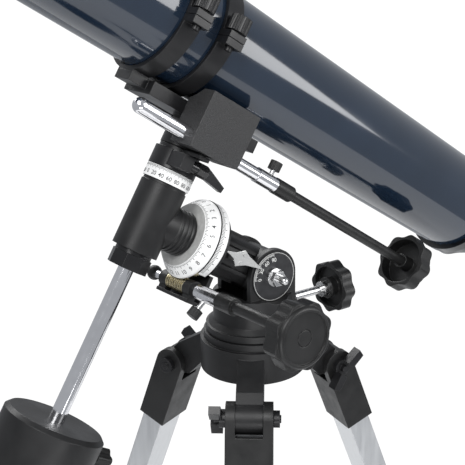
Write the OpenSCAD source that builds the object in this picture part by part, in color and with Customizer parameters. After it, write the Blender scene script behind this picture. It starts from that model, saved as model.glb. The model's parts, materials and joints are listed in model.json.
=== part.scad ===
// Small reflecting telescope on a German equatorial mount and an aluminium tripod.
// World frame: +Z up, polar axis in the XZ plane and rising towards -X, floor at z = 0.
// Polar frame (module polar): origin where the two axes cross, +X down the polar axis
// to the rear, +Z up the declination axis to the tube, +Y across.

/* [Telescope tube] */
// Outer radius of the main tube
tube_r = 41.7; // [36:0.1:52]
// Wall of the main tube
tube_wall = 1.2; // [0.8:0.1:2.5]
// Length of the main tube
tube_len = 636; // [520:1:800]
// Distance from the declination axis to the rear end of the tube
tube_rear = 296; // [240:1:340]
// Gap between the tube and the lining of its rings
ring_gap = 0.3; // [0.2:0.05:0.8]
// Thickness of the tube rings
ring_t = 3.2; // [2:0.1:5]
// Width of each tube ring
ring_w = 14; // [10:1:20]
// Radius of the eyepiece barrel, the 24.5 mm standard
eyepiece_r = 12.25; // [12:0.05:12.5]

/* [Equatorial head] */
// Tilt of the polar axis above the horizon
latitude = 31.5; // [22:0.5:45]
// Height of the tube axis above the crossing of the two axes
tube_lift = 132; // [132:1:145]
// Radius of the declination housing
dec_r = 17.6; // [16:0.1:20]
// Radius of the declination setting circle
dec_circle_r = 18; // [18:0.1:21]
// Radius of the polar setting circle at its large end
ra_circle_r = 31.7; // [29:0.1:38.5]
// Radius of the polar housing between the circles and the yoke
ra_body_r = 17; // [15:0.1:19]
// Distance from the crossing of the axes to the latitude hinge
hinge_x = 113; // [105:1:125]
// Half width of the latitude yoke, outside its ears
yoke_y = 23; // [21:0.5:27]
// Radius of each latitude ear
ear_r = 22; // [20:0.5:25]
// Radius of the pedestal
pedestal_r = 32; // [28:0.5:36]
// Radius of the counterweight shaft
shaft_r = 6; // [5:0.1:7]
// Length of the counterweight shaft below its nut
shaft_len = 210; // [160:1:260]
// Radius of the counterweight
weight_r = 39; // [30:1:48]
// Height of the counterweight
weight_h = 44; // [30:1:60]
// Radius of both slow-motion knobs
slow_knob_r = 24; // [18:0.5:28]
// Length of the polar slow-motion control from the worm to the knob's face
ra_control = 148; // [130:1:190]
// Length of the declination control from its block to the knob's face
dec_control = 222.5; // [180:0.5:270]

/* [Tripod] */
// Radius at which the legs are hinged
lug_r = 74; // [66:1:85]
// Angle of each leg from the vertical
leg_splay = 21; // [17:0.5:24]
// Direction of the rear leg about the vertical axis
leg_turn = -8; // [-20:1:20]
// Length of a leg from its hinge to the floor
leg_len = 700; // [620:1:900]
// Length of the upper leg tube
leg_upper_len = 520; // [440:1:560]
// Width of the upper leg tube
leg_w = 30; // [26:0.5:36]
// Depth of the upper leg tube
leg_d = 20; // [18:0.5:26]
// Wall of the leg tubes
leg_wall = 1.5; // [1:0.1:2]
// Radius of the accessory tray
tray_r = 92; // [80:1:105]

/* [Fits] */
// Radial clearance of a shaft that turns in its bore
run_fit = 0.05; // [0.03:0.01:0.09]
// Gap between faces that pass each other
gap = 0.4; // [0.3:0.05:0.6]

/* [Hidden] */
$fn = 64;

// Places along the polar axis, measured from the crossing of the axes
circle_face_x = 33.2;
circle_back_x = 43.1;
circle_gap = 0.9;
index_x = circle_back_x + circle_gap;
index_end_x = 51.3;
index_r = ra_circle_r + 0.5;
wheel_w = 6.6;
wheel_x = index_x + gap;
wheel_teeth = 72;
flange_x = 53;
flange_end_x = 57;
hub_r = 17.5;
polar_shaft_r = 9;
yoke_inner_y = yoke_y - 5;
tail_r = 19;

// Worm, which runs across the polar axis under it
worm_x = 49.2;
worm_tilt = 2.4;
worm_r = 6.2;
mesh_gap = 0.35;
worm_drop = ra_circle_r + 3.05;
wheel_r = worm_drop - worm_r - mesh_gap;
flange_r = wheel_r - 0.2;
worm_shaft_r = 3;
bush_r = 6.4;
bush_in_y = 12;
bush_out_y = 21;
bush_gap_y = 16.5;

// Places along the declination axis
housing_low_z = -25.5;
housing_top_z = 28;
dec_circle_z = housing_top_z + gap;
dec_circle_h = 9.6;
clamp_z = dec_circle_z + dec_circle_h + gap;
clamp_top_z = 52.4;
arm_top_z = 55.4;
neck_z = arm_top_z + gap;
neck_r = 16.5;
dec_shaft_r = 8;
dec_pin_top_z = 70;
nut_h = 14;
nut_r = 15.5;
shaft_top_z = housing_low_z - nut_h;
weight_z = shaft_top_z - 165;
stop_h = 10;

// Saddle and its fine-motion block
saddle_low_z = 77;
ring_out_r = tube_r + ring_gap + ring_t;
saddle_top_z = tube_lift - ring_out_r;
saddle_y = 18;
saddle_front_x = -54;
tongue_x = -69;
tongue_y = 10;
saddle_rear_x = 48;
ring_front_x = -62;
ring_rear_x = -32;
ring_lug_y = ring_out_r + 5;
screw_y = -32;
screw_z = 64;
screw_tilt = 1.5;
block_x0 = -23.5;
block_x1 = 21.5;
block_y0 = -44;
block_z0 = neck_z + 0.8;
block_z1 = 98;
block_corner = 4;
arm_x = -2.8;
arm_pin_r = 3;
arm_travel = 2.4;
barrel_r = 5.7;
barrel_len = 41;
screw_tube_r = 5;
screw_tube_x = 48;
coupling_r = 5.8;
coupling_len = 20;
ra_coupling_len = 27;
ra_coupling_y = -bush_out_y - 5 - ra_coupling_len;
ferrule_r = 6.3;
ferrule_len = 18;
cable_r = 4.2;
fine_r = 3.2;
lock_y = -24;
lock_z = 46.6;
knob_h = 15;
knob_dip = 2.6;
knob_rim = 2.4;
dish_depth = 1.2;
hand_dip = 2.2;
thumb_r = 4.8;

// Focuser, across the tube near its front
focus_x = -262;
focus_turn = 40;
focus_base_z = tube_r + 8;

// Azimuth seat and tripod head, measured from the crossing of the axes
az_x = 92.4;
yoke_floor_z = -99;
yoke_open_z = -78.3;
flange_top_z = -102;
az_plane_z = -108;
head_low_z = -140;
lug_z = -152.5;
az_pin_r = 12;
lat_screw_z = -92;
lat_screw_r = 3.5;
lever_x = 6;
hinge_world_x = hinge_x * cos(latitude);
hinge_world_z = -hinge_x * sin(latitude);

// Legs, in a frame with its origin on a leg's hinge and -Z down the leg
lug_w = 21;
leg_bolt_r = 3;
fitting_wall = 3;
fitting_w = leg_w + 2 * fitting_wall;
fitting_d = leg_d + 2 * fitting_wall;
leg_top_z = -16;
fitting_low_z = -62;
lower_w = leg_w - 2 * leg_wall - 0.2;
lower_d = leg_d - 2 * leg_wall - 0.2;
lower_overlap = 200;
collar_h = 34;
collar_lip = 4;
foot_r = 13;
foot_h = 20;
spreader_along = 389.4;
lug_world_z = foot_h / 2 + leg_len * cos(leg_splay);
axes_z = lug_world_z - lug_z;
tray_z = lug_world_z - spreader_along * cos(leg_splay);
spreader_reach = lug_r + spreader_along * sin(leg_splay);

// The frame's origin lies on the floor under the middle of the object's box
cap_r = tube_r + 3.4;
cap_flange = 4;
cap_plug = 14;
cap_len = 2 + gap + cap_flange;
tube_front = tube_len - tube_rear;
foot_reach = lug_r + leg_len * sin(leg_splay);
low_x = -(tube_front + cap_len) * cos(latitude) + (tube_lift - cap_r) * sin(latitude);
high_x = az_x + foot_reach * cos(leg_turn) + foot_r;
low_y = foot_reach * sin(leg_turn - 120) - foot_r;
high_y = foot_reach * sin(leg_turn + 120) + foot_r;
axes_x = -(low_x + high_x) / 2;
axes_y = -(low_y + high_y) / 2;

// Frames
module axes() { translate([axes_x, axes_y, axes_z]) children(); }
module polar() { axes() rotate([0, latitude, 0]) children(); }
module worm_line() { polar() rotate([-worm_tilt, 0, 0]) translate([worm_x, 0, -worm_drop]) children(); }
module screw_line() { polar() translate([0, screw_y, screw_z]) rotate([0, screw_tilt, 0]) children(); }
module optics() { polar() translate([0, 0, tube_lift]) children(); }
module azimuth() { axes() translate([az_x, 0, 0]) children(); }
module leg(i) {
    azimuth() rotate([0, 0, leg_turn + 120 * i]) translate([lug_r, 0, lug_z])
        rotate([0, -leg_splay, 0]) children();
}

// Round bars along X and along Y
module bar_x(r, x0, x1) { translate([x0, 0, 0]) rotate([0, 90, 0]) cylinder(r = r, h = x1 - x0); }
module bar_y(r, y0, y1) { translate([0, y1, 0]) rotate([90, 0, 0]) cylinder(r = r, h = y1 - y0); }
module cone_x(r0, r1, x0, x1) {
    translate([x0, 0, 0]) rotate([0, 90, 0]) cylinder(r1 = r0, r2 = r1, h = x1 - x0);
}
// A block from its lowest to its highest corner
module block(low, high) { translate(low) cube(high - low); }

// A lobed outline whose rim swings smoothly between r and r - dip
module lobed(r, lobes, dip) {
    points = 12 * lobes;
    polygon([for (k = [0 : points - 1])
        (r - dip * (1 - cos(360 * lobes * k / points)) / 2)
            * [cos(360 * k / points), sin(360 * k / points)]]);
}
// A knurled outline
module knurled(r, teeth, depth) {
    polygon([for (k = [0 : 2 * teeth - 1])
        (r - (k % 2) * depth) * [cos(180 * k / teeth), sin(180 * k / teeth)]]);
}
// Slow-motion knob: a lobed cup with a dished face at z = 0 and its open back towards -Z
module slow_knob(bore) {
    rim_r = slow_knob_r - knob_dip - 0.2;
    difference() {
        union() {
            translate([0, 0, -knob_h]) linear_extrude(knob_h - knob_rim) lobed(slow_knob_r, 8, knob_dip);
            rotate_extrude() polygon(concat([[0, -knob_rim - 1], [rim_r, -knob_rim - 1]],
                [for (a = [0 : 15 : 90]) [rim_r - knob_rim * (1 - cos(a)), knob_rim * (sin(a) - 1)]],
                [[0, 0]]));
        }
        translate([0, 0, -dish_depth]) cylinder(r = rim_r - knob_rim - 0.8, h = 2);
        translate([0, 0, -dish_depth - 0.7]) difference() {
            cylinder(r = 6, h = 2);
            translate([0, 0, -1]) cylinder(r = 5.3, h = 4);
        }
        translate([0, 0, -knob_h - 1]) difference() {
            cylinder(r = slow_knob_r - 4.6, h = knob_h - 3.5);
            translate([0, 0, -1]) cylinder(r = cable_r + 2, h = knob_h);
        }
        translate([0, 0, -knob_h - 1]) cylinder(r = bore, h = knob_h - 4);
    }
}
// Knurled thumb screw whose stem starts at z = 0 and points up
module thumb_screw(stem) {
    cylinder(r = 1.8, h = stem + 1);
    translate([0, 0, stem]) linear_extrude(7) knurled(thumb_r, 18, 0.5);
}

// ---- Tripod ----
module tripod_head() {
    color([0.07, 0.07, 0.07]) difference() {
        union() {
            azimuth() translate([0, 0, az_plane_z - 6]) cylinder(r = 40, h = 6);
            azimuth() translate([0, 0, head_low_z]) cylinder(r = 43, h = az_plane_z - 6 - head_low_z);
            for (i = [0 : 2]) azimuth() rotate([0, 0, leg_turn + 120 * i]) head_arm();
        }
        azimuth() translate([0, 0, head_low_z - 30])
            cylinder(r = az_pin_r + run_fit, h = az_plane_z - head_low_z + 40);
        for (i = [0 : 2]) leg(i) bar_y(leg_bolt_r, -lug_w, lug_w);
        lock_line() bar_x(3 + run_fit, 0, 60);
    }
}
module lock_line() {
    azimuth() rotate([0, 0, leg_turn + 60]) translate([0, 0, -128]) children();
}
module head_arm() {
    rotate([90, 0, 0]) translate([0, 0, -lug_w / 2]) linear_extrude(lug_w) union() {
        polygon([[0, -117], [40, -117.5], [lug_r - 6, -134], [lug_r + 5, lug_z + 8],
            [lug_r - 2, lug_z - 9], [lug_r - 16, lug_z - 8], [37, head_low_z + 1.5], [0, head_low_z + 1.5]]);
        translate([lug_r, lug_z]) circle(r = 12);
    }
}
module leg_hinge_bolts() {
    color([0.08, 0.08, 0.08]) for (i = [0 : 2]) leg(i) {
        bar_y(leg_bolt_r, -fitting_w / 2 - 9, fitting_w / 2 + 6);
        bar_y(6.5, fitting_w / 2, fitting_w / 2 + 5);
        bar_y(7, -fitting_w / 2 - 5, -fitting_w / 2);
        for (side = [-1, 1]) wing(side);
    }
}
module wing(side) {
    translate([0, -fitting_w / 2 - 3, 0]) rotate([0, 60, 0]) translate([0, 0, side * 5])
        rotate([90, 0, 0]) linear_extrude(9) polygon([[-3.5, 0], [3.5, 0], [5, 13 * side], [-1, 15 * side]]);
}
module leg_fittings() {
    color([0.08, 0.08, 0.08]) for (i = [0 : 2]) leg(i) {
        leg_bracket();
        leg_collar();
    }
}
module leg_bracket() {
    difference() {
        union() {
            block([-fitting_d / 2, -fitting_w / 2, fitting_low_z], [fitting_d / 2, fitting_w / 2, 0]);
            bar_y(fitting_d / 2, -fitting_w / 2, fitting_w / 2);
        }
        block([-leg_d / 2, -leg_w / 2, fitting_low_z - 1], [leg_d / 2, leg_w / 2, leg_top_z]);
        block([-fitting_d, -lug_w / 2, leg_top_z + 3], [fitting_d, lug_w / 2, fitting_d]);
        bar_y(leg_bolt_r, -fitting_w, fitting_w);
    }
}
module leg_collar() {
    translate([0, 0, -leg_upper_len - collar_lip]) difference() {
        block([-fitting_d / 2, -fitting_w / 2, 0], [fitting_d / 2, fitting_w / 2, collar_h]);
        block([-leg_d / 2, -leg_w / 2, collar_lip], [leg_d / 2, leg_w / 2, collar_h + 1]);
        block([-lower_d / 2 - gap, -lower_w / 2 - gap, -1],
            [lower_d / 2 + gap, lower_w / 2 + gap, collar_h]);
        translate([0, 0, collar_h / 2]) bar_x(3 + run_fit, 0, fitting_d);
    }
}
module leg_uppers() {
    color([0.78, 0.79, 0.8]) for (i = [0 : 2]) leg(i) difference() {
        block([-leg_d / 2, -leg_w / 2, -leg_upper_len], [leg_d / 2, leg_w / 2, leg_top_z]);
        block([-leg_d / 2 + leg_wall, -leg_w / 2 + leg_wall, -leg_upper_len - 1],
            [leg_d / 2 - leg_wall, leg_w / 2 - leg_wall, leg_top_z + 1]);
        translate([0, 0, -leg_upper_len - collar_lip + collar_h / 2]) bar_x(3 + run_fit, 0, leg_d);
    }
}
module leg_lower(i) {
    color([0.75, 0.76, 0.78]) leg(i) difference() {
        block([-lower_d / 2, -lower_w / 2, -leg_len + 4], [lower_d / 2, lower_w / 2, lower_overlap - leg_upper_len]);
        block([-lower_d / 2 + leg_wall, -lower_w / 2 + leg_wall, -leg_len + 30],
            [lower_d / 2 - leg_wall, lower_w / 2 - leg_wall, lower_overlap - leg_upper_len + 1]);
    }
    color([0.06, 0.06, 0.06]) azimuth() rotate([0, 0, leg_turn + 120 * i])
        translate([foot_reach, 0, -axes_z]) cylinder(r = foot_r, h = foot_h);
}
module leg_lock(i) {
    color([0.07, 0.07, 0.07]) leg(i) translate([0, 0, -leg_upper_len - collar_lip + collar_h / 2]) {
        bar_x(3, lower_d / 2 + gap, fitting_d / 2 + 8);
        translate([fitting_d / 2 + 4, 0, 0]) rotate([0, 90, 0]) linear_extrude(12) lobed(12, 6, hand_dip);
    }
}
module spreader() {
    color([0.1, 0.1, 0.1]) {
        axes() translate([az_x, 0, tray_z - axes_z]) difference() {
            union() {
                cylinder(r = 34, h = 3);
                for (i = [0 : 2]) rotate([0, 0, leg_turn + 120 * i])
                    block([0, -8, 0], [spreader_reach, 8, 3]);
            }
            translate([0, 0, -1]) cylinder(r = 4.2, h = 5);
            for (i = [0 : 2]) rotate([0, 0, leg_turn + 120 * i])
                translate([spreader_reach, 0, 0]) rotate([0, -leg_splay, 0])
                block([-fitting_d / 2, -fitting_w, -40], [fitting_d, fitting_w, 40]);
        }
        for (i = [0 : 2]) leg(i) translate([0, 0, -spreader_along]) difference() {
            block([-fitting_d / 2, -fitting_w / 2, -11], [fitting_d / 2, fitting_w / 2, 11]);
            block([-leg_d / 2, -leg_w / 2, -12], [leg_d / 2, leg_w / 2, 12]);
        }
    }
}
module tray() {
    color([0.09, 0.09, 0.09]) axes() translate([az_x, 0, tray_z - axes_z + 3]) difference() {
        union() {
            cylinder(r = tray_r, h = 3);
            difference() {
                cylinder(r = tray_r, h = 12);
                translate([0, 0, -1]) cylinder(r = tray_r - 2.5, h = 20);
            }
            translate([0, 0, -3 - 6]) cylinder(r = 4, h = 8);
            translate([0, 0, -3 - 14]) linear_extrude(10) lobed(14, 6, hand_dip);
        }
        for (k = [0 : 2]) rotate([0, 0, leg_turn + 60 + 120 * k])
            translate([tray_r - 34, 0, -4]) cylinder(r = eyepiece_r + 0.25, h = 20);
    }
}

// ---- Azimuth base and latitude yoke ----
module az_base() {
    color([0.07, 0.07, 0.07]) difference() {
        union() {
            azimuth() {
                translate([0, 0, -98]) cylinder(r = pedestal_r, h = 22);
                translate([0, 0, flange_top_z]) cylinder(r1 = pedestal_r + 4, r2 = pedestal_r, h = 4);
                translate([0, 0, az_plane_z + gap]) cylinder(r = pedestal_r + 6, h = flange_top_z - az_plane_z - gap);
                translate([0, 0, head_low_z - 4]) cylinder(r = az_pin_r, h = az_plane_z - head_low_z + 6);
            }
            axes() yoke_outside();
        }
        axes() translate([hinge_world_x, 0, 0]) {
            block([-tail_r - 1, -yoke_inner_y, yoke_floor_z], [tail_r + gap, yoke_inner_y, 0]);
            block([-60, -yoke_inner_y, yoke_open_z], [0, yoke_inner_y, 0]);
            block([-60, -yoke_inner_y, hinge_world_z - 8], [60, yoke_inner_y, 0]);
            translate([0, 0, hinge_world_z]) bar_y(ear_r - 2 + gap, -yoke_y - 20, -yoke_y);
            translate([0, 0, hinge_world_z]) bar_y(5 + run_fit, -yoke_y - 1, yoke_y + 1);
        }
        axes() translate([0, 0, lat_screw_z]) bar_x(lat_screw_r + run_fit, hinge_world_x, hinge_world_x + 60);
    }
}
module yoke_outside() {
    translate([hinge_world_x, 0, 0]) {
        translate([0, 0, hinge_world_z]) bar_y(ear_r, -yoke_y, yoke_y);
        block([-ear_r, -yoke_y, -98], [ear_r, yoke_y, hinge_world_z]);
        translate([0, 0, lat_screw_z]) bar_x(9, ear_r - 1, ear_r + 13);
    }
}
module lat_scale() {
    color([0.16, 0.16, 0.17]) axes() translate([hinge_world_x, 0, hinge_world_z]) difference() {
        bar_y(ear_r - 2, -yoke_y - 1, -yoke_y);
        bar_y(5 + run_fit, -yoke_y - 2, yoke_y);
    }
}
module lat_pivot() {
    color([0.75, 0.75, 0.76]) axes() translate([hinge_world_x, 0, hinge_world_z]) {
        bar_y(5, -yoke_y - 8, yoke_y + 5);
        bar_y(7.4, -yoke_y - 3.2, -yoke_y - 1);
        translate([0, -yoke_y - 3.2, 0]) rotate([90, 0, 0]) cylinder(r = 6.6, h = 5, $fn = 6);
        bar_y(3.4, -yoke_y - 14, -yoke_y - 8);
        translate([0, -yoke_y - 14, 0]) sphere(r = 3.4);
        bar_y(8, yoke_y, yoke_y + 2);
        translate([0, yoke_y + 7, 0]) rotate([90, 0, 0]) cylinder(r = 6.6, h = 5, $fn = 6);
    }
}
module az_lock() {
    color([0.07, 0.07, 0.07]) lock_line() {
        bar_x(3, az_pin_r + gap, 54);
        translate([50, 0, 0]) rotate([0, 90, 0]) linear_extrude(12) lobed(12, 6, hand_dip);
    }
}
module lat_screw() {
    color([0.75, 0.76, 0.78]) axes() translate([0, 0, lat_screw_z]) {
        bar_x(lat_screw_r, hinge_world_x + lever_x + gap, 176);
        bar_x(6.5, 164, 170);
    }
}
module lat_knob() {
    color([0.06, 0.06, 0.06]) axes() translate([170, 0, lat_screw_z]) rotate([0, 90, 0]) difference() {
        union() {
            translate([0, 0, 3]) linear_extrude(10.5) lobed(slow_knob_r - 1.5, 8, knob_dip);
            cylinder(r = 9, h = 16);
        }
        translate([0, 0, -1]) cylinder(r = lat_screw_r, h = 7);
        translate([0, 0, 2]) difference() {
            cylinder(r = slow_knob_r - 6, h = 6);
            translate([0, 0, -1]) cylinder(r = 8, h = 8);
        }
    }
}

// ---- Polar housing, worm and its control ----
module ra_housing() {
    color([0.07, 0.07, 0.07]) difference() {
        union() {
            polar() {
                bar_x(flange_r, flange_x, flange_end_x);
                bar_x(ra_body_r, flange_end_x, hinge_x);
                for (a = [0 : 60 : 300]) rotate([a, 0, 0])
                    block([flange_end_x, -1.5, 0], [hinge_x - tail_r, 1.5, ra_body_r + 2.2]);
                translate([hinge_x, 0, 0]) bar_y(tail_r, -yoke_inner_y + gap, yoke_inner_y - gap);
            }
            axes() translate([hinge_world_x, 0, 0])
                block([-lever_x, -10, lat_screw_z - 5], [lever_x, 10, hinge_world_z]);
        }
        polar() bar_x(polar_shaft_r + run_fit, 0, hinge_x - 12);
        polar() translate([hinge_x, 0, 0]) bar_y(5 + run_fit, -yoke_y, yoke_y);
        polar() translate([74, 0, 0]) bar_y(3 + run_fit, 0, 40);
    }
}
module lat_pointer() {
    color([0.72, 0.72, 0.73]) polar() {
        translate([0, -yoke_y - 2.2, 0]) rotate([90, 0, 0]) linear_extrude(1)
            polygon([[57.3, 2.6], [68, 4.8], [74.4, 8.8], [80, 6], [97.8, 1.3], [80, -1.4], [71.3, -5.1], [67, -0.4]]);
        difference() {
            block([68, -yoke_y - 2.2, -2], [78, -10, 3]);
            bar_x(ra_body_r, 60, 90);
        }
        for (z = [-1.4, 5.8]) translate([75, 0, z]) bar_y(1.7, -yoke_y - 4, -yoke_y - 3.2);
    }
}
module ra_index_ring() {
    color([0.93, 0.93, 0.93]) polar() difference() {
        union() {
            bar_x(index_r, index_x, index_end_x);
            bar_x(index_r - 2, index_x, flange_x);
        }
        bar_x(wheel_r + gap, index_x - 1, flange_x - 0.8);
        bar_x(polar_shaft_r + gap, index_x, flange_x + 1);
        block([index_x - 1, -bush_gap_y - 7, -index_r - 1], [flange_x + 1, bush_gap_y + 7, -ra_body_r]);
    }
}
module worm_frame() {
    color([0.07, 0.07, 0.07]) worm_line() difference() {
        union() {
            bar_y(bush_r, bush_in_y, bush_out_y);
            bar_y(bush_r, -bush_out_y, -bush_in_y);
            for (y = [bush_in_y, -bush_out_y])
                block([-3, y, -9], [3, y + bush_out_y - bush_in_y, -3.6]);
            block([-4, -bush_out_y, -11], [11, bush_out_y, -8.4]);
            block([flange_end_x - worm_x + 0.1, -bush_out_y, -11], [11, bush_out_y, 14]);
        }
        bar_y(worm_shaft_r + run_fit, -30, 30);
    }
}
module ra_lock() {
    color([0.07, 0.07, 0.07]) polar() translate([74, 0, 0]) {
        bar_y(3, polar_shaft_r + gap, 30);
        bar_y(6, ra_body_r + 3, 30);
        block([-13, 25, -2.5], [13, 33, 2.5]);
    }
}
module ra_wheel() {
    color([0.72, 0.58, 0.3]) polar() difference() {
        translate([wheel_x, 0, 0]) rotate([0, 90, 0]) linear_extrude(wheel_w) knurled(wheel_r, wheel_teeth, 1);
        bar_x(polar_shaft_r + run_fit, 0, flange_x);
    }
}
module ra_worm() {
    color([0.72, 0.58, 0.3]) worm_line() difference() {
        bar_y(worm_r, -bush_in_y + gap, bush_in_y - gap);
        for (k = [-4 : 4]) translate([0, 2.4 * k, 0]) difference() {
            bar_y(worm_r + 1, -0.6, 0.6);
            bar_y(worm_r - 1, -1, 1);
        }
        bar_y(worm_shaft_r, -30, 30);
    }
}
module ra_worm_shaft() {
    color([0.8, 0.8, 0.82]) worm_line() {
        bar_y(worm_shaft_r, -bush_out_y - 6, 36);
        translate([0, 37, 0]) sphere(r = 6);
        bar_y(coupling_r, ra_coupling_y, -bush_out_y - 5);
    }
}
module ra_cable() {
    color([0.08, 0.08, 0.08]) worm_line() {
        bar_y(ferrule_r, ra_coupling_y - ferrule_len, ra_coupling_y);
        bar_y(cable_r, -ra_control + 6, ra_coupling_y);
    }
}
module ra_knob() {
    color([0.1, 0.1, 0.11]) worm_line() translate([0, -ra_control, 0]) rotate([90, 0, 0]) slow_knob(cable_r);
}
module ra_coupling_screw() {
    color([0.07, 0.07, 0.07]) worm_line() translate([0, -bush_out_y - 17, 0])
        rotate([0, 200, 0]) translate([0, 0, coupling_r]) thumb_screw(7);
}

// ---- Declination housing, polar shaft and counterweight ----
module dec_housing() {
    color([0.08, 0.08, 0.08]) polar() difference() {
        union() {
            translate([0, 0, housing_low_z]) cylinder(r = dec_r, h = housing_top_z - 2 - housing_low_z);
            translate([0, 0, housing_top_z - 2]) cylinder(r = dec_r - 0.8, h = 2);
            rotate([0, 90, 0]) rotate_extrude() polygon(concat([[0, 0], [hub_r - 1, 0]],
                [for (k = [0 : 3]) each [[hub_r - 1, 17 + 4 * k], [hub_r, 18 + 4 * k],
                    [hub_r, 19.6 + 4 * k], [hub_r - 1, 20.6 + 4 * k]]],
                [[hub_r - 1, circle_face_x - gap], [0, circle_face_x - gap]]));
            bar_x(polar_shaft_r, 0, hinge_x - 24);
        }
        translate([0, 0, -22]) cylinder(r = dec_shaft_r + run_fit, h = 60);
        translate([0, 0, housing_low_z - 1]) cylinder(r = shaft_r, h = 5);
    }
}
module ra_circle() {
    color([0.93, 0.93, 0.93]) polar() difference() {
        union() {
            cone_x(ra_circle_r - 6.8, ra_circle_r, circle_face_x, circle_back_x - 1.5);
            bar_x(ra_circle_r, circle_back_x - 1.5, circle_back_x);
        }
        bar_x(polar_shaft_r + run_fit, 0, circle_back_x + 1);
    }
}
module shaft_nut() {
    color([0.08, 0.08, 0.08]) polar() translate([0, 0, shaft_top_z]) difference() {
        union() {
            cylinder(r = nut_r, h = nut_h - 3, $fn = 8);
            translate([0, 0, nut_h - 3]) cylinder(r = nut_r - 1.5, h = 3);
        }
        translate([0, 0, -1]) cylinder(r = shaft_r, h = nut_h + 2);
    }
}
module cw_shaft() {
    color([0.82, 0.82, 0.84]) polar() {
        translate([0, 0, shaft_top_z - shaft_len]) cylinder(r = shaft_r, h = shaft_len + nut_h + 4);
        translate([0, 0, shaft_top_z - shaft_len - stop_h]) cylinder(r = 3, h = stop_h);
    }
}
module counterweight() {
    color([0.1, 0.1, 0.1]) polar() translate([0, 0, weight_z]) difference() {
        union() {
            translate([0, 0, 3]) cylinder(r = weight_r, h = weight_h - 6);
            cylinder(r1 = weight_r - 3, r2 = weight_r, h = 3);
            translate([0, 0, weight_h - 3]) cylinder(r1 = weight_r, r2 = weight_r - 3, h = 3);
        }
        translate([0, 0, -1]) cylinder(r = shaft_r + run_fit, h = weight_h + 2);
        translate([0, 0, weight_h / 2]) bar_x(3.5 + run_fit, 0, weight_r + 5);
    }
}
module cw_lock() {
    color([0.07, 0.07, 0.07]) polar() translate([0, 0, weight_z + weight_h / 2]) {
        bar_x(3.5, shaft_r + gap, weight_r + 8);
        translate([weight_r + 3, 0, 0]) rotate([0, 90, 0]) linear_extrude(13) lobed(11, 6, hand_dip);
    }
}
module cw_stop() {
    color([0.07, 0.07, 0.07]) polar() translate([0, 0, shaft_top_z - shaft_len - stop_h - 2]) difference() {
        linear_extrude(stop_h + 1.6) knurled(12, 30, 0.6);
        translate([0, 0, 2]) cylinder(r = 3 + run_fit, h = stop_h + 2);
    }
}

// ---- Declination clamp ----
module dec_clamp() {
    color([0.08, 0.08, 0.08]) polar() difference() {
        union() {
            translate([0, 0, -20]) cylinder(r = dec_shaft_r, h = dec_pin_top_z + 20);
            translate([0, 0, clamp_z]) cylinder(r = dec_circle_r + 0.2, h = clamp_top_z - clamp_z);
            block([-14, lock_y - 5.5, clamp_z + 2.4], [-4, -10, clamp_top_z - 0.4]);
            translate([0, 0, clamp_top_z]) cylinder(r = dec_circle_r - 2, h = arm_top_z - clamp_top_z);
            block([arm_x - 4.5, screw_y - 5, clamp_top_z], [arm_x + 4.5, 0, arm_top_z]);
            translate([arm_x, screw_y, clamp_top_z]) cylinder(r = arm_pin_r, h = screw_z + 5 - clamp_top_z);
        }
        translate([0, lock_y, lock_z]) bar_x(2.6 + run_fit, -9, 0);
    }
}
module dec_circle() {
    color([0.93, 0.93, 0.93]) polar() translate([0, 0, dec_circle_z]) difference() {
        cylinder(r = dec_circle_r, h = dec_circle_h);
        translate([0, 0, -1]) cylinder(r = dec_shaft_r + run_fit, h = dec_circle_h + 2);
    }
}
module dec_lock() {
    color([0.07, 0.07, 0.07]) polar() translate([0, lock_y, lock_z]) {
        bar_x(2.6, -8, 4);
        bar_x(4.2, -4 + gap, 4);
        translate([3, 0, 0]) rotate([0, 90, 0]) cylinder(r = 5.2, h = 9, $fn = 8);
        translate([0, 2.5, 0]) rotate([90, 0, 0]) linear_extrude(5)
            polygon([[10, 4.2], [14, 3.4], [31, -3.6], [30, -7.8], [13, -4.8], [10, -4.6]]);
    }
}

// ---- Saddle, rings and the fine-motion block ----
module dec_block() {
    color([0.3, 0.3, 0.31]) difference() {
        polar() intersection() {
            block([block_x0, block_y0, block_z0], [block_x1, -saddle_y, block_z1]);
            translate([0, 0, block_z0]) rotate([90, 0, 0]) translate([0, 0, saddle_y - 1])
                linear_extrude(60) union() {
                    translate([block_x1 - block_corner, block_corner]) circle(r = block_corner);
                    translate([block_x0, 0]) square([block_x1 - block_x0 - block_corner, 60]);
                    translate([block_x1 - 10, block_corner]) square([10, 60]);
                }
        }
        optics() bar_x(ring_out_r + 1, block_x0 - 5, block_x1 + 5);
        polar() block([arm_x - 6, screw_y - 6.5, block_z0 - 1], [arm_x + 6, -saddle_y + 1, block_z0 + 2]);
        polar() block([arm_x - 6, screw_y - 4, block_z0 - 1], [arm_x + 6, screw_y + 4, screw_z + 7]);
        screw_line() bar_x(fine_r + run_fit, arm_x, block_x1 + 5);
        screw_line() bar_x(2.5, block_x0 - 5, arm_x);
    }
}
module dec_barrel() {
    color([0.82, 0.82, 0.84]) difference() {
        screw_line() {
            bar_x(barrel_r, block_x0 - barrel_len, block_x0 + 1);
            translate([block_x0 - barrel_len, 0, 0]) rotate([0, -90, 0]) rotate_extrude() intersection() {
                circle(r = barrel_r);
                square([barrel_r, barrel_r]);
            }
        }
        polar() block([block_x0, block_y0, block_z0], [block_x1, 0, block_z1]);
    }
}
module saddle_bar() {
    color([0.12, 0.12, 0.13]) polar() difference() {
        union() {
            block([saddle_front_x, -saddle_y, saddle_low_z], [saddle_rear_x, saddle_y, saddle_top_z]);
            block([tongue_x, -tongue_y, saddle_low_z + 3], [saddle_front_x + 1, tongue_y, saddle_top_z]);
            translate([0, 0, neck_z]) cylinder(r = neck_r, h = saddle_low_z - neck_z);
        }
        translate([0, 0, neck_z - 1]) cylinder(r = dec_shaft_r + run_fit, h = dec_pin_top_z - neck_z + 1.6);
    }
}
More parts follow.
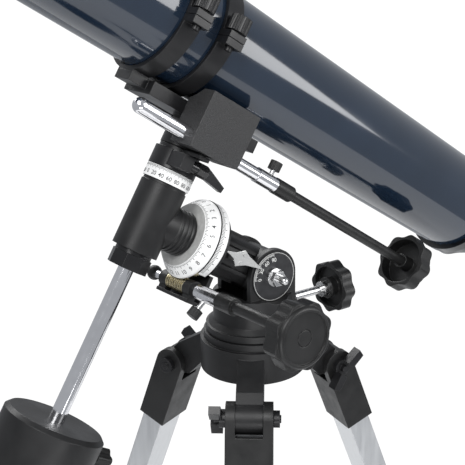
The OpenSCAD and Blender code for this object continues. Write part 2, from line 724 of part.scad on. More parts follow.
module ring_lowers() {
    color([0.07, 0.07, 0.07]) optics() for (x = [ring_front_x, ring_rear_x]) translate([x, 0, 0]) difference() {
        union() {
            difference() {
                bar_x(ring_out_r, -ring_w / 2, ring_w / 2);
                block([-ring_w, -60, 0], [ring_w, 60, 60]);
            }
            block([-ring_w / 2, -ring_lug_y - 5, -5], [ring_w / 2, -ring_out_r + 2, 0]);
            for (e = [-ring_w / 2, ring_w / 2 - 4]) {
                translate([0, ring_lug_y, 0]) bar_x(3.4, e, e + 4);
                block([e, ring_out_r - 2, -3.4], [e + 4, ring_lug_y, -0.1]);
            }
            translate([0, ring_lug_y, 0]) bar_x(1.5, -ring_w / 2, ring_w / 2);
            block([-ring_w / 2, -tongue_y, saddle_top_z - tube_lift], [ring_w / 2, tongue_y, -tube_r + 1]);
        }
        bar_x(tube_r + ring_gap, -ring_w, ring_w);
        translate([0, -ring_lug_y, -10]) cylinder(r = 3.6, h = 20);
    }
}
module ring_cap(x) {
    color([0.07, 0.07, 0.07]) optics() translate([x, 0, 0]) difference() {
        union() {
            difference() {
                bar_x(ring_out_r, -ring_w / 2, ring_w / 2);
                block([-ring_w, -60, -60], [ring_w, 60, gap]);
            }
            block([-ring_w / 2, -ring_lug_y - 5, gap], [ring_w / 2, -ring_out_r + 2, 5]);
            translate([0, ring_lug_y, 0]) bar_x(3.4, -ring_w / 2 + 4.4, ring_w / 2 - 4.4);
            block([-ring_w / 2 + 4.4, ring_out_r - 2, gap], [ring_w / 2 - 4.4, ring_lug_y, 3.4]);
            translate([0, -ring_lug_y, -8]) cylinder(r = 2.5, h = 16);
            translate([0, -ring_lug_y, 6]) linear_extrude(11) knurled(7.5, 24, 0.6);
            translate([0, -ring_lug_y, 5]) cylinder(r = 4, h = 2);
        }
        bar_x(tube_r + ring_gap, -ring_w, ring_w);
        translate([0, ring_lug_y, 0]) bar_x(1.5 + run_fit, -ring_w, ring_w);
    }
}
module ring_cap_front() { ring_cap(ring_front_x); }
module ring_cap_rear() { ring_cap(ring_rear_x); }

// ---- Declination slow motion ----
module dec_screw() {
    color([0.82, 0.82, 0.84]) screw_line() {
        bar_x(fine_r, arm_x + arm_pin_r + arm_travel, block_x1 + 4);
        bar_x(screw_tube_r, block_x1 + gap, screw_tube_x);
        bar_x(coupling_r, screw_tube_x, screw_tube_x + coupling_len);
    }
}
module dec_cable() {
    color([0.08, 0.08, 0.08]) screw_line() translate([screw_tube_x + coupling_len, 0, 0]) {
        bar_x(ferrule_r, 0, ferrule_len);
        bar_x(cable_r, 0, block_x1 + dec_control - screw_tube_x - coupling_len - 6);
    }
}
module dec_knob() {
    color([0.07, 0.07, 0.07]) screw_line() translate([block_x1 + dec_control, 0, 0])
        rotate([0, 90, 0]) slow_knob(cable_r);
}
module dec_coupling_screw() {
    color([0.07, 0.07, 0.07]) screw_line() translate([screw_tube_x + 13, 0, coupling_r]) thumb_screw(3.4);
}

// ---- Optical tube ----
module tube() {
    color([0.1, 0.14, 0.2]) optics() difference() {
        bar_x(tube_r, -tube_front, tube_rear);
        bar_x(tube_r - tube_wall, -tube_front - 1, tube_rear + 1);
        focus_frame() cylinder(r = 16, h = 80);
    }
}
module front_ring() {
    color([0.06, 0.06, 0.06]) optics() {
        difference() {
            bar_x(tube_r + 2.4, -tube_front - 2, -tube_front + 14);
            bar_x(tube_r, -tube_front, -tube_front + 20);
            bar_x(tube_r - 3, -tube_front - 5, -tube_front + 20);
        }
        translate([focus_x, 0, 0]) {
            difference() {
                bar_x(11, -34, 4);
                rotate([focus_turn, 0, 0]) rotate([0, 45, 0]) block([-40, -20, -6], [40, 20, 40]);
            }
            for (a = [0 : 120 : 240]) rotate([a + focus_turn + 60, 0, 0])
                block([-34, -0.6, 8], [-26, 0.6, tube_r - tube_wall]);
        }
    }
}
module rear_cell() {
    color([0.06, 0.06, 0.06]) optics() difference() {
        union() {
            bar_x(tube_r - tube_wall, tube_rear - 12, tube_rear);
            bar_x(tube_r + 3.9, tube_rear, tube_rear + 9);
            translate([tube_rear + 9, 0, 0]) rotate([0, 90, 0]) linear_extrude(10) lobed(tube_r + 3.4, 9, hand_dip);
            for (a = [0 : 120 : 240]) rotate([a, 0, 0]) translate([0, 0, 26]) bar_x(4.5, tube_rear, tube_rear + 24);
        }
        bar_x(tube_r - 6, tube_rear - 20, tube_rear + 3);
    }
}
module mirrors() {
    color([0.85, 0.87, 0.9]) optics() {
        bar_x(tube_r - 4, tube_rear - 18, tube_rear - 12);
        intersection() {
            translate([focus_x, 0, 0]) bar_x(11, -24, 24);
            translate([focus_x, 0, 0]) rotate([focus_turn, 0, 0]) rotate([0, 45, 0])
                block([-40, -20, -6], [40, 20, 0]);
        }
    }
}
module focus_frame() { translate([focus_x, 0, 0]) rotate([focus_turn, 0, 0]) children(); }
module focuser() {
    color([0.07, 0.07, 0.07]) optics() difference() {
        focus_frame() {
            block([-23, -23, tube_r - 8], [23, 23, focus_base_z]);
            cylinder(r = 20, h = focus_base_z + 30);
            block([-16, 0, focus_base_z - 1], [16, 23, focus_base_z + 16]);
        }
        bar_x(tube_r, focus_x - 40, focus_x + 40);
        focus_frame() cylinder(r = 15.3 + run_fit, h = 140);
        focus_frame() translate([0, 18.5, focus_base_z + 8]) bar_x(3 + run_fit, -40, 40);
    }
}
module drawtube() {
    color([0.8, 0.8, 0.82]) optics() focus_frame() translate([0, 0, tube_r - 4]) difference() {
        union() {
            cylinder(r = 15.3, h = 52);
            translate([0, 0, 52]) cylinder(r = 18, h = 12);
        }
        translate([0, 0, -1]) cylinder(r = eyepiece_r + run_fit, h = 70);
    }
}
module focus_knobs() {
    color([0.07, 0.07, 0.07]) optics() focus_frame() translate([0, 18.5, focus_base_z + 8]) {
        bar_x(3, -34, 34);
        for (s = [0, 1]) mirror([s, 0, 0]) translate([24, 0, 0]) rotate([0, 90, 0])
            linear_extrude(12) knurled(10, 30, 0.6);
    }
}
module eyepiece() {
    color([0.08, 0.08, 0.08]) optics() focus_frame() translate([0, 0, tube_r - 4 + 64]) difference() {
        union() {
            translate([0, 0, -22]) cylinder(r = eyepiece_r, h = 24);
            translate([0, 0, 0.4]) cylinder(r = 15, h = 22);
            translate([0, 0, 22.4]) cylinder(r1 = 15, r2 = 11, h = 5);
        }
        translate([0, 0, 24]) cylinder(r = 6, h = 5);
    }
}
module finder() {
    color([0.07, 0.07, 0.07]) optics() rotate([-8, 0, 0]) translate([focus_x + 30, 0, tube_r + 32]) difference() {
        union() {
            bar_x(11.5, -70, 62);
            bar_x(15, -92, -66);
            cone_x(11.5, 9, 62, 80);
            for (x = [-30, 24]) {
                bar_x(18, x, x + 9);
                block([x, -7, -29], [x + 9, 7, -14]);
            }
            block([-36, -8, -33], [39, 8, -28]);
        }
        translate([0, 0, -tube_r - 32]) bar_x(tube_r, -200, 200);
        bar_x(13, -93, -84);
        bar_x(6, 74, 81);
    }
}
module dust_cap() {
    color([0.06, 0.06, 0.06]) optics() translate([-tube_front - cap_len, 0, 0]) difference() {
        union() {
            bar_x(cap_r, 0, cap_flange);
            bar_x(tube_r - 3 - run_fit, 0, cap_flange + cap_plug);
        }
        bar_x(tube_r - 5 - run_fit, 2.5, cap_flange + cap_plug + 1);
    }
}

tripod_head();
leg_hinge_bolts();
leg_fittings();
leg_uppers();
spreader();
tray();
leg_lower(0);  // leg_lower_1
leg_lower(1);  // leg_lower_2
leg_lower(2);  // leg_lower_3
leg_lock(0);  // leg_lock_1
leg_lock(1);  // leg_lock_2
leg_lock(2);  // leg_lock_3
az_base();
lat_scale();
lat_pivot();
az_lock();
lat_screw();
lat_knob();
ra_housing();
lat_pointer();
ra_index_ring();
worm_frame();
ra_lock();
ra_wheel();
ra_worm();
ra_worm_shaft();
ra_cable();
ra_knob();
ra_coupling_screw();
dec_housing();
ra_circle();
shaft_nut();
cw_shaft();
counterweight();
cw_lock();
cw_stop();
dec_clamp();
dec_circle();
dec_lock();
dec_block();
dec_barrel();
saddle_bar();
ring_lowers();
ring_cap_front();
ring_cap_rear();
dec_screw();
dec_cable();
dec_knob();
dec_coupling_screw();
tube();
front_ring();
rear_cell();
mirrors();
focuser();
drawtube();
focus_knobs();
eyepiece();
finder();
dust_cap();
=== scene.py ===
"""Small reflecting telescope on an equatorial mount: finishes (the fasteners among them), dials, camera and
light.
"""
import bpy, bmesh, json, math
from mathutils import Matrix, Vector

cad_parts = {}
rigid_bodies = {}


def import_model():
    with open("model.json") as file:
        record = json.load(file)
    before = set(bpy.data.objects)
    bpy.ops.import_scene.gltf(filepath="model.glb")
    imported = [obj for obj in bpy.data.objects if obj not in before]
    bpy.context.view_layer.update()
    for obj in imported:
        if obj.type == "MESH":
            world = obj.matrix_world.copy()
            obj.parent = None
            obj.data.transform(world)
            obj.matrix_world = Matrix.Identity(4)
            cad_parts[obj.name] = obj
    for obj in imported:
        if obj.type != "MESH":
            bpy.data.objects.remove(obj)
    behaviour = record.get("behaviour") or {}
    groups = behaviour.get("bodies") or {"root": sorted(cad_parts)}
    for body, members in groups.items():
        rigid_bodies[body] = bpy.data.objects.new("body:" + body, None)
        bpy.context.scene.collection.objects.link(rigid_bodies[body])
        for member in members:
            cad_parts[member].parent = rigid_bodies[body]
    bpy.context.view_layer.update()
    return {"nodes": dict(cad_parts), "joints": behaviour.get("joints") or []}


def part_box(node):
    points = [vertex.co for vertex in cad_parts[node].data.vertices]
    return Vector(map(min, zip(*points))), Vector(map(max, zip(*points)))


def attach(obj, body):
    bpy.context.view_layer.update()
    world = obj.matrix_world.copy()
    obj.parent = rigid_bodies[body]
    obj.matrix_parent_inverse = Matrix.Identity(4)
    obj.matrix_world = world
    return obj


for left in list(bpy.data.objects):
    bpy.data.objects.remove(left)
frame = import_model()
NODES = frame["nodes"]
JOINTS = {j["name"]: j for j in frame["joints"]}
MM = 0.001


# ---------------------------------------------------------------- frames
def joint_at(name):
    return Vector(JOINTS[name]["pos_m"])


def joint_axis(name):
    return Vector(JOINTS[name]["axis"]).normalized()


def frame_of(origin, z, x):
    """A 4x4 in millimetres whose local Z is z and whose local X leans towards x."""
    z = z.normalized()
    x = (x - z * x.dot(z)).normalized()
    y = z.cross(x)
    m = Matrix((x, y, z)).transposed().to_4x4()
    m.translation = origin
    return m @ Matrix.Scale(MM, 4)


CROSS = joint_at("dec_axis_turn")
DEC = joint_axis("dec_axis_turn")
DOWN = joint_axis("ra_axis_turn")
POLAR = frame_of(CROSS, DEC, DOWN)          # +X down the polar axis, +Y across it, +Z up to the tube
ALONG = frame_of(CROSS, DOWN, DEC)          # the same place with Z down the polar axis, X up to the tube


# ---------------------------------------------------------------- materials
COAT_ROUGHNESS = 0.04
CLOUD_DETAIL, CLOUD_LOW, CLOUD_HIGH = 5.0, 0.3, 0.7       # the part of a noise's range that is spread out
SPECK_DETAIL = 3.0
BEVEL_SAMPLES = 6
EDGE_STARTS, EDGE_FULL = 0.985, 0.9                       # cosine between the softened and the true normal
CHIP_SCALE, CHIP_DETAIL, CHIP_LOW, CHIP_HIGH = 260.0, 6.0, 0.42, 0.6
LEAST_ROUGHNESS = 0.02


def node_tree(name):
    mat = bpy.data.materials.new(name)
    mat.use_nodes = True
    nt = mat.node_tree
    nt.nodes.clear()
    return mat, nt


def surface(name, color, rough, metal=0.0, coat=0.0, mottle=(60, 0.15), grain=(), wear=None, edge=0.5,
            rough_spread=0.08, spec=0.5, streak=None):
    """A procedural finish: mottled colour, grain as bump, softened edges and worn edges.

    mottle is (scale per metre, share), grain a list of (scale per metre, strength, depth in mm),
    wear is (colour, share), edge the softening radius in mm, and streak the pattern's scale along X, Y and Z,
    which draws it out for brushed metal."""
    mat, nt = node_tree(name)
    N, L = nt.nodes, nt.links
    out = N.new("ShaderNodeOutputMaterial")
    bsdf = N.new("ShaderNodeBsdfPrincipled")
    L.new(bsdf.outputs["BSDF"], out.inputs["Surface"])
    bsdf.inputs["Metallic"].default_value = metal
    bsdf.inputs["Specular IOR Level"].default_value = spec
    bsdf.inputs["Coat Weight"].default_value = coat
    bsdf.inputs["Coat Roughness"].default_value = COAT_ROUGHNESS
    coord = N.new("ShaderNodeTexCoord")
    place = coord.outputs["Object"]
    if streak:
        mapping = N.new("ShaderNodeMapping")
        mapping.inputs["Scale"].default_value = streak
        L.new(place, mapping.inputs["Vector"])
        place = mapping.outputs["Vector"]
    cloud = N.new("ShaderNodeTexNoise")
    cloud.inputs["Scale"].default_value = mottle[0]
    cloud.inputs["Detail"].default_value = CLOUD_DETAIL
    L.new(place, cloud.inputs["Vector"])
    tone = N.new("ShaderNodeMapRange")
    tone.inputs["From Min"].default_value = CLOUD_LOW
    tone.inputs["From Max"].default_value = CLOUD_HIGH
    tone.inputs["To Min"].default_value = 1.0 - mottle[1]
    tone.inputs["To Max"].default_value = 1.0 + mottle[1]
    L.new(cloud.outputs["Fac"], tone.inputs["Value"])
    paint = N.new("ShaderNodeVectorMath")
    paint.operation = "SCALE"
    paint.inputs[0].default_value = color
    L.new(tone.outputs["Result"], paint.inputs["Scale"])
    colour = paint.outputs["Vector"]
    gloss = N.new("ShaderNodeMapRange")
    gloss.inputs["From Min"].default_value = CLOUD_LOW
    gloss.inputs["From Max"].default_value = CLOUD_HIGH
    gloss.inputs["To Min"].default_value = max(LEAST_ROUGHNESS, rough - rough_spread)
    gloss.inputs["To Max"].default_value = min(1.0, rough + rough_spread)
    L.new(cloud.outputs["Fac"], gloss.inputs["Value"])
    roughness = gloss.outputs["Result"]
    round_edge = N.new("ShaderNodeBevel")
    round_edge.samples = BEVEL_SAMPLES
    round_edge.inputs["Radius"].default_value = edge * MM
    normal = round_edge.outputs["Normal"]
    if wear:
        flat = N.new("ShaderNodeNewGeometry")
        turn = N.new("ShaderNodeVectorMath")
        turn.operation = "DOT_PRODUCT"
        L.new(round_edge.outputs["Normal"], turn.inputs[0])
        L.new(flat.outputs["Normal"], turn.inputs[1])
        rub = N.new("ShaderNodeMapRange")
        rub.inputs["From Min"].default_value = EDGE_STARTS
        rub.inputs["From Max"].default_value = EDGE_FULL
        rub.inputs["To Min"].default_value = 0.0
        rub.inputs["To Max"].default_value = 1.0
        L.new(turn.outputs["Value"], rub.inputs["Value"])
        chip = N.new("ShaderNodeTexNoise")
        chip.inputs["Scale"].default_value = CHIP_SCALE
        chip.inputs["Detail"].default_value = CHIP_DETAIL
        L.new(coord.outputs["Object"], chip.inputs["Vector"])
        keep = N.new("ShaderNodeMapRange")
        keep.inputs["From Min"].default_value = CHIP_LOW
        keep.inputs["From Max"].default_value = CHIP_HIGH
        L.new(chip.outputs["Fac"], keep.inputs["Value"])
        both = N.new("ShaderNodeMath")
        both.operation = "MULTIPLY"
        L.new(rub.outputs["Result"], both.inputs[0])
        L.new(keep.outputs["Result"], both.inputs[1])
        share = N.new("ShaderNodeMath")
        share.operation = "MULTIPLY"
        share.inputs[1].default_value = wear[1]
        L.new(both.outputs["Value"], share.inputs[0])
        mix = N.new("ShaderNodeMix")
        mix.data_type = "RGBA"
        L.new(share.outputs["Value"], mix.inputs["Factor"])
        L.new(colour, mix.inputs["A"])
        mix.inputs["B"].default_value = (*wear[0], 1.0)
        colour = mix.outputs["Result"]
    for scale, strength, depth in grain:
        speck = N.new("ShaderNodeTexNoise")
        speck.inputs["Scale"].default_value = scale
        speck.inputs["Detail"].default_value = SPECK_DETAIL
        L.new(place, speck.inputs["Vector"])
        bump = N.new("ShaderNodeBump")
        bump.inputs["Strength"].default_value = strength
        bump.inputs["Distance"].default_value = depth * MM
        L.new(speck.outputs["Fac"], bump.inputs["Height"])
        L.new(normal, bump.inputs["Normal"])
        normal = bump.outputs["Normal"]
    L.new(colour, bsdf.inputs["Base Color"])
    L.new(roughness, bsdf.inputs["Roughness"])
    L.new(normal, bsdf.inputs["Normal"])
    return mat


CAST = surface("cast_black", (0.012, 0.012, 0.0125), 0.42, mottle=(45, 0.2),
               grain=[(1500, 0.35, 0.12), (520, 0.2, 0.15)], wear=((0.05, 0.05, 0.05), 0.5), edge=0.8,
               spec=0.36)
SATIN = surface("satin_black", (0.010, 0.010, 0.011), 0.33, mottle=(40, 0.15), grain=[(2200, 0.18, 0.06)],
                wear=((0.05, 0.05, 0.05), 0.4), edge=0.7, spec=0.4)
GLOSSY = surface("gloss_black", (0.008, 0.008, 0.009), 0.2, coat=0.4, mottle=(30, 0.1),
                 grain=[(300, 0.05, 0.08)], wear=((0.05, 0.05, 0.05), 0.3), edge=0.8)
WRINKLE = surface("grey_wrinkle", (0.030, 0.030, 0.031), 0.5, mottle=(1500, 0.9),
                  grain=[(1300, 0.9, 0.5), (2600, 0.6, 0.2)], wear=((0.16, 0.16, 0.16), 0.75), edge=0.6)
MOULDED = surface("moulded_black", (0.012, 0.012, 0.012), 0.4, mottle=(80, 0.15), grain=[(2600, 0.35, 0.06)],
                  wear=((0.045, 0.045, 0.045), 0.4), edge=1.1, spec=0.4)
RUBBER = surface("cable_black", (0.013, 0.013, 0.013), 0.38, mottle=(90, 0.2), grain=[(1800, 0.25, 0.06)],
                 wear=((0.03, 0.03, 0.03), 0.3), edge=0.7, spec=0.4)
WHITE = surface("white_dial", (0.90, 0.90, 0.89), 0.38, mottle=(70, 0.03), grain=[(1400, 0.06, 0.04)],
                edge=0.4, wear=((0.6, 0.6, 0.58), 0.4))
CAST_GREY = surface("dial_face_grey", (0.42, 0.42, 0.41), 0.55, mottle=(300, 0.12),
                    grain=[(1800, 0.4, 0.08)], edge=0.3)
INK = surface("dial_ink", (0.02, 0.02, 0.022), 0.5, mottle=(600, 0.3), grain=[(3000, 0.1, 0.02)], edge=0.05)
PALE_INK = surface("scale_ink", (0.72, 0.72, 0.70), 0.5, mottle=(500, 0.12), grain=[(3000, 0.1, 0.02)],
                   edge=0.05)
PLATE = surface("scale_plate", (0.022, 0.022, 0.024), 0.36, mottle=(200, 0.2),
                grain=[(2400, 0.2, 0.04)], edge=0.3)
NAVY = surface("navy_gloss", (0.010, 0.020, 0.038), 0.13, coat=0.8, mottle=(25, 0.08),
               grain=[(90, 0.015, 0.2)], edge=0.5, rough_spread=0.03)
CHROME = surface("chrome", (0.86, 0.86, 0.88), 0.1, metal=1.0, mottle=(120, 0.03), grain=[(700, 0.03, 0.03)],
                 edge=0.5, rough_spread=0.04)
TURNED = surface("turned_chrome", (0.8, 0.8, 0.82), 0.2, metal=1.0, mottle=(350, 0.05),
                 grain=[(900, 0.08, 0.03)], edge=0.5, rough_spread=0.06)
STEEL = surface("zinc_steel", (0.62, 0.62, 0.62), 0.26, metal=1.0, mottle=(420, 0.1),
                grain=[(900, 0.12, 0.04)], edge=0.5)
BRASS = surface("brass", (0.55, 0.49, 0.33), 0.34, metal=1.0, mottle=(500, 0.25),
                grain=[(1500, 0.4, 0.1)], edge=0.3)
LEG = surface("leg_aluminium", (0.72, 0.73, 0.74), 0.36, metal=1.0, mottle=(35, 0.05),
              grain=[(260, 0.06, 0.05)], edge=0.9, streak=(6, 6, 0.5))
POINTER = surface("brushed_plate", (0.60, 0.60, 0.59), 0.42, metal=0.85, mottle=(900, 0.12),
                  grain=[(1400, 0.35, 0.05)], edge=0.3, streak=(1, 1, 4))
MIRROR = surface("mirror_coat", (0.92, 0.93, 0.94), 0.02, metal=1.0, mottle=(10, 0.01),
                 grain=[(40, 0.005, 0.01)], edge=0.2, rough_spread=0.0)

FINISH = {
    CAST: "dec_housing ra_housing az_base tripod_head worm_frame counterweight",
    SATIN: "dec_clamp shaft_nut saddle_bar ring_lowers ring_cap_front ring_cap_rear front_ring focuser "
           "leg_hinge_bolts finder",
    GLOSSY: "rear_cell eyepiece dec_lock",
    WRINKLE: "dec_block",
    MOULDED: "leg_fittings leg_lock_1 leg_lock_2 leg_lock_3 spreader tray az_lock lat_knob ra_lock ra_knob "
             "cw_lock cw_stop dec_knob focus_knobs dust_cap ra_coupling_screw dec_coupling_screw",
    RUBBER: "ra_cable dec_cable",
    WHITE: "ra_circle dec_circle ra_index_ring",
    PLATE: "lat_scale",
    NAVY: "tube",
    CHROME: "cw_shaft dec_barrel dec_screw drawtube",
    TURNED: "ra_worm_shaft",
    STEEL: "lat_pivot lat_screw",
    BRASS: "ra_wheel ra_worm",
    LEG: "leg_uppers leg_lower_1 leg_lower_2 leg_lower_3",
    POINTER: "lat_pointer",
    MIRROR: "mirrors",
}
for finish, names in FINISH.items():
    for n in names.split():
        ob = NODES[n]
        ob.data.materials.clear()
        ob.data.materials.append(finish)


def paint_where(node, finish, test):
    """Gives the faces of a CAD node that pass test(centre, normal) another finish."""
    ob = NODES[node]
    ob.data.materials.append(finish)
    slot = len(ob.data.materials) - 1
    for p in ob.data.polygons:
        if test(p.center, p.normal):
            p.material_index = slot


FACING = 0.9                                 # cosine above which a face counts as square to the polar axis
WORM_CAP_Y = 30.3                            # mm along POLAR's Y, where the worm shaft's end cap begins
STEM_REACH = {"ra_coupling_screw": 12.3, "dec_coupling_screw": 8.9}    # mm from the joint to the plastic head
FOOT_TOP = 0.021                             # m above the floor, where the foot begins

to_polar = POLAR.inverted()
paint_where("ra_circle", CAST_GREY, lambda c, n: n.dot(DOWN) < -FACING)
paint_where("ra_circle", INK, lambda c, n: n.dot(DOWN) > FACING)
paint_where("ra_index_ring", INK, lambda c, n: abs(n.dot(DOWN)) > FACING)
paint_where("ra_worm_shaft", MOULDED, lambda c, n: (to_polar @ c).y > WORM_CAP_Y)
for screw, reach in STEM_REACH.items():
    base, up = joint_at(screw + "_turn"), joint_axis(screw + "_turn")
    paint_where(screw, STEEL, lambda c, n: (c - base).dot(up) < reach * MM)
for k in (1, 2, 3):
    paint_where(f"leg_lower_{k}", MOULDED, lambda c, n: c.z < FOOT_TOP)


# ---------------------------------------------------------------- pieces
def piece(name, bm, matrix, body, finish, smooth=35):
    """Turns bm, drawn in matrix's millimetres, into a visible piece that rides on body."""
    bmesh.ops.recalc_face_normals(bm, faces=bm.faces)
    me = bpy.data.meshes.new(name)
    bm.to_mesh(me)
    bm.free()
    me.transform(matrix)
    me.materials.append(finish)
    ob = bpy.data.objects.new(name, me)
    bpy.context.scene.collection.objects.link(ob)
    me.shade_smooth()
    if smooth:
        me.set_sharp_from_angle(angle=math.radians(smooth))
    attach(ob, body)


def slab(bm, matrix, size):
    """A small block centred on matrix, size in its own X, Y, Z."""
    bmesh.ops.create_cube(bm, size=1.0, matrix=matrix @ Matrix.Diagonal((*size, 1.0)))


def ring_ticks(name, frame_m, body, radius, level, marks, finish=INK, cone=0.0, proud=0.02):
    """Ticks round an axis: marks is a list of (angle, length along the axis, width, start level).

    radius is the drum's at level, cone its growth per mm along the axis, proud how far a tick stands off."""
    bm = bmesh.new()
    for angle, length, width, start in marks:
        r = radius + cone * (start + length / 2 - level)
        m = (Matrix.Rotation(angle, 4, "Z") @ Matrix.Translation((r, 0, start + length / 2))
             @ Matrix.Rotation(math.atan(cone), 4, "Y"))
        slab(bm, m, (2 * proud, width, length))
    piece(name, bm, frame_m, body, finish, smooth=0)


SIZE_PER_HEIGHT = 1.35                       # a text curve's size for a figure one unit high
FIGURE_DEPTH, FIGURE_SWELL = 0.03, 0.02      # mm, how far it stands off and how its strokes widen


def numbers(name, items, body, finish=INK):
    """Figures: items is a list of (text, 4x4 with Z off the surface, height in mm)."""
    bm = bmesh.new()
    for text, matrix, height in items:
        cu = bpy.data.curves.new("figure", "FONT")
        cu.body = text
        cu.size = height * SIZE_PER_HEIGHT
        cu.align_x = "CENTER"
        cu.align_y = "CENTER"
        cu.extrude = FIGURE_DEPTH
        cu.offset = FIGURE_SWELL
        ob = bpy.data.objects.new("figure", cu)
        bpy.context.scene.collection.objects.link(ob)
        bpy.context.view_layer.update()
        me = bpy.data.meshes.new_from_object(ob.evaluated_get(bpy.context.evaluated_depsgraph_get()))
        me.transform(matrix)
        bm.from_mesh(me)
        bpy.data.objects.remove(ob)
        bpy.data.curves.remove(cu)
        bpy.data.meshes.remove(me)
    piece(name, bm, Matrix.Identity(4), body, finish, smooth=0)


def figure_on(frame_m, angle, radius, level, tilt=0.0, turn=0.0):
    """A place on a drum's surface: X of the figure runs round the drum, Y along its axis."""
    return (frame_m @ Matrix.Rotation(angle, 4, "Z") @ Matrix.Translation((radius, 0, level))
            @ Matrix.Rotation(tilt, 4, "Y") @ Matrix.Rotation(math.pi / 2, 4, "Y")
            @ Matrix.Rotation(math.pi / 2, 4, "Z") @ Matrix.Rotation(turn, 4, "Z"))


def lathe(name, frame_m, body, finish, profile, steps=64):
    """A turned piece: profile is a list of (radius, height) along the frame's Z, clear of the axis."""
    bm = bmesh.new()
    rings = [[bm.verts.new((r * math.cos(math.tau * k / steps), r * math.sin(math.tau * k / steps), z))
              for k in range(steps)] for r, z in profile]
    for a, b in zip(rings, rings[1:]):
        for k in range(steps):
            n = (k + 1) % steps
            bm.faces.new((a[k], a[n], b[n], b[k]))
    piece(name, bm, frame_m, body, finish)


# Polar setting circle: a cone with figures 0 to 23 and six ticks to each hour
CIRCLE_R0, CIRCLE_R1, CIRCLE_X0, CIRCLE_X1 = 24.9, 31.7, 33.2, 41.6
CIRCLE_TICKS, CIRCLE_WIDTH, CIRCLE_INSET = 144, 0.4, 0.25
CIRCLE_LONG, CIRCLE_MIDDLE, CIRCLE_SHORT = 2.6, 2.0, 1.4
CIRCLE_FIGURE_X, CIRCLE_FIGURE_H = 5.3, 3.6
SLOPE = (CIRCLE_R1 - CIRCLE_R0) / (CIRCLE_X1 - CIRCLE_X0)
marks = []
for k in range(CIRCLE_TICKS):
    length = CIRCLE_LONG if k % 6 == 0 else (CIRCLE_MIDDLE if k % 3 == 0 else CIRCLE_SHORT)
    marks.append((math.tau * k / CIRCLE_TICKS, length, CIRCLE_WIDTH, CIRCLE_X0 + CIRCLE_INSET))
ring_ticks("ra_circle_ticks", ALONG, "ra_circle", CIRCLE_R0, CIRCLE_X0, marks, cone=SLOPE)
items = [(str(hour), figure_on(ALONG, math.tau * hour / 24, CIRCLE_R0 + SLOPE * CIRCLE_FIGURE_X,
                               CIRCLE_X0 + CIRCLE_FIGURE_X, math.atan(SLOPE), math.pi), CIRCLE_FIGURE_H)
         for hour in range(24)]
numbers("ra_circle_figures", items, "ra_circle")

# Fixed index ring, open at the bottom where the worm meets its wheel
INDEX_R, INDEX_X, OPEN_HALF = 32.2, 44.0, math.radians(50)
INDEX_TICKS, INDEX_LONG, INDEX_SHORT, INDEX_WIDTH, INDEX_INSET = 180, 4.6, 2.8, 0.42, 0.2
marks = [(math.tau * k / INDEX_TICKS, INDEX_LONG if k % 5 == 0 else INDEX_SHORT, INDEX_WIDTH,
          INDEX_X + INDEX_INSET)
         for k in range(INDEX_TICKS) if abs(math.tau * k / INDEX_TICKS - math.pi) > OPEN_HALF]
ring_ticks("ra_index_ticks", ALONG, "polar", INDEX_R, INDEX_X, marks)

# Declination circle: figures 0 to 80 and back every twenty degrees, a tick for every two degrees
DEC_R, DEC_LOW, DEC_HIGH = 18.0, 28.4, 38.0
DEC_TICKS, DEC_LONG, DEC_SHORT, DEC_WIDTH, DEC_INSET = 180, 3.0, 1.9, 0.24, 0.2
DEC_FIGURE_X, DEC_FIGURE_H, DEC_FIGURE_LIFT = 3.1, 3.2, 0.02
marks = []
for k in range(DEC_TICKS):
    length = DEC_LONG if k % 5 == 0 else DEC_SHORT
    marks.append((math.tau * k / DEC_TICKS, length, DEC_WIDTH, DEC_HIGH - DEC_INSET - length))
ring_ticks("dec_circle_ticks", POLAR, "dec_circle", DEC_R, DEC_LOW, marks)
items = [(str(abs((degrees + 90) % 180 - 90)),
          figure_on(POLAR, math.radians(degrees), DEC_R + DEC_FIGURE_LIFT, DEC_LOW + DEC_FIGURE_X),
          DEC_FIGURE_H)
         for degrees in range(0, 360, 20)]
numbers("dec_circle_figures", items, "dec_circle")

# Latitude scale: 0 towards the front, 90 at the top
SCALE_R, SCALE_LONG, SCALE_SHORT, SCALE_WIDTH, SCALE_DEPTH, SCALE_LIFT = 18.7, 2.8, 1.6, 0.3, 0.06, 0.01
SCALE_FIGURE_R, SCALE_FIGURE_H, SCALE_FIGURE_LIFT = 13.6, 3.4, 0.02
RIM_IN, RIM_OUT, RIM_TOP = 19.2, 19.5, 0.04
HINGE = joint_at("latitude_tilt")
ear_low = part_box("lat_scale")[0]
SCALE = frame_of(Vector((HINGE.x, ear_low.y, HINGE.z)), Vector((0, -1, 0)), Vector((-1, 0, 0)))


def on_scale(value, radius, lift):
    """A place on the latitude scale at value degrees."""
    return Matrix.Rotation(-math.radians(value), 4, "Z") @ Matrix.Translation((radius, 0, lift))


bm = bmesh.new()
for value in range(0, 91, 2):
    length = SCALE_LONG if value % 10 == 0 else SCALE_SHORT
    slab(bm, on_scale(value, SCALE_R - length / 2, SCALE_LIFT), (length, SCALE_WIDTH, SCALE_DEPTH))
piece("lat_scale_ticks", bm, SCALE, "azimuth", PALE_INK, smooth=0)
items = [(str(value), SCALE @ on_scale(value, SCALE_FIGURE_R, SCALE_FIGURE_LIFT)
          @ Matrix.Rotation(-math.pi / 2, 4, "Z"), SCALE_FIGURE_H) for value in (0, 30, 60, 90)]
numbers("lat_scale_figures", items, "azimuth", PALE_INK)
lathe("lat_scale_rim", SCALE, "azimuth", PALE_INK,
      [(RIM_IN, 0.0), (RIM_IN, RIM_TOP), (RIM_OUT, RIM_TOP), (RIM_OUT, 0.0)])

# ---------------------------------------------------------------- floor, light, camera
FLOOR_RADIUS, FLOOR_SEGMENTS, FLOOR_WHITE = 0.95, 128, 0.93
SURROUND_COLOR, SURROUND_STRENGTH = (0.92, 0.95, 1.0, 1), 0.42
BACKDROP_COLOR, BACKDROP_STRENGTH = (1.0, 1.0, 1.0, 1), 1.05

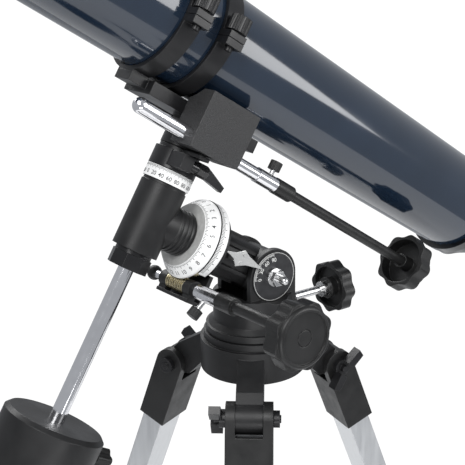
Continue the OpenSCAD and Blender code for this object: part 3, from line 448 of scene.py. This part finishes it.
bm = bmesh.new()
bmesh.ops.create_circle(bm, cap_ends=True, segments=FLOOR_SEGMENTS, radius=FLOOR_RADIUS)
me = bpy.data.meshes.new("studio_floor")
bm.to_mesh(me)
bm.free()
floor = bpy.data.objects.new("studio_floor", me)
bpy.context.scene.collection.objects.link(floor)
floor_mat, nt = node_tree("studio_white")
out = nt.nodes.new("ShaderNodeOutputMaterial")
diff = nt.nodes.new("ShaderNodeBsdfDiffuse")
diff.inputs["Color"].default_value = (FLOOR_WHITE, FLOOR_WHITE, FLOOR_WHITE, 1)
nt.links.new(diff.outputs["BSDF"], out.inputs["Surface"])
me.materials.append(floor_mat)

# The camera sees a white backdrop, while the object is lit and mirrored by a dimmer surround
world = bpy.data.worlds.new("studio")
bpy.context.scene.world = world
world.use_nodes = True
nt = world.node_tree
nt.nodes.clear()
surround = nt.nodes.new("ShaderNodeBackground")
surround.inputs["Color"].default_value = SURROUND_COLOR
surround.inputs["Strength"].default_value = SURROUND_STRENGTH
backdrop = nt.nodes.new("ShaderNodeBackground")
backdrop.inputs["Color"].default_value = BACKDROP_COLOR
backdrop.inputs["Strength"].default_value = BACKDROP_STRENGTH
ray = nt.nodes.new("ShaderNodeLightPath")
either = nt.nodes.new("ShaderNodeMixShader")
sky = nt.nodes.new("ShaderNodeOutputWorld")
nt.links.new(ray.outputs["Is Camera Ray"], either.inputs["Fac"])
nt.links.new(surround.outputs["Background"], either.inputs[1])
nt.links.new(backdrop.outputs["Background"], either.inputs[2])
nt.links.new(either.outputs["Shader"], sky.inputs["Surface"])
scene = bpy.context.scene
scene.view_settings.view_transform = "Standard"

# The camera solved from the photograph
AZIMUTH, ELEVATION, ROLL = math.radians(-34.5), math.radians(17.2), math.radians(-0.9)
FOCAL_LENGTH, SENSOR, DISTANCE = 73.7, 36.0, 0.6993       # mm, mm and m
TARGET_OFFSET = Vector((50.2, -34.5, -11.5))              # mm from the crossing of the axes
NEAR_CLIP = 0.01
away = Vector((math.sin(AZIMUTH) * math.cos(ELEVATION), -math.cos(AZIMUTH) * math.cos(ELEVATION),
               math.sin(ELEVATION)))
target = CROSS + TARGET_OFFSET * MM
cam = bpy.data.cameras.new("camera")
cam.lens = FOCAL_LENGTH
cam.sensor_width = SENSOR
cam.clip_start = NEAR_CLIP
camera = bpy.data.objects.new("camera", cam)
scene.collection.objects.link(camera)
camera.location = target + away * DISTANCE
facing = (-away).to_track_quat("-Z", "Y").to_matrix()
camera.rotation_euler = (facing @ Matrix.Rotation(ROLL, 3, "Z")).to_euler()
scene.camera = camera


def softbox(name, offset, size, power):
    """An area light at offset metres from the crossing of the axes, aimed at it."""
    li = bpy.data.lights.new(name, "AREA")
    li.shape = "RECTANGLE"
    li.size, li.size_y = size
    li.energy = power
    ob = bpy.data.objects.new(name, li)
    scene.collection.objects.link(ob)
    ob.location = CROSS + Vector(offset)
    ob.rotation_euler = Vector(offset).to_track_quat("Z", "Y").to_euler()


softbox("key", (-0.9, -0.8, 1.1), (0.8, 0.9), 20)
softbox("fill", (1.0, -1.3, 0.35), (0.8, 1.0), 13)
softbox("rim", (0.3, 1.3, 1.0), (1.4, 0.5), 16)
softbox("low", (-0.5, -1.1, -0.5), (0.9, 0.3), 4)
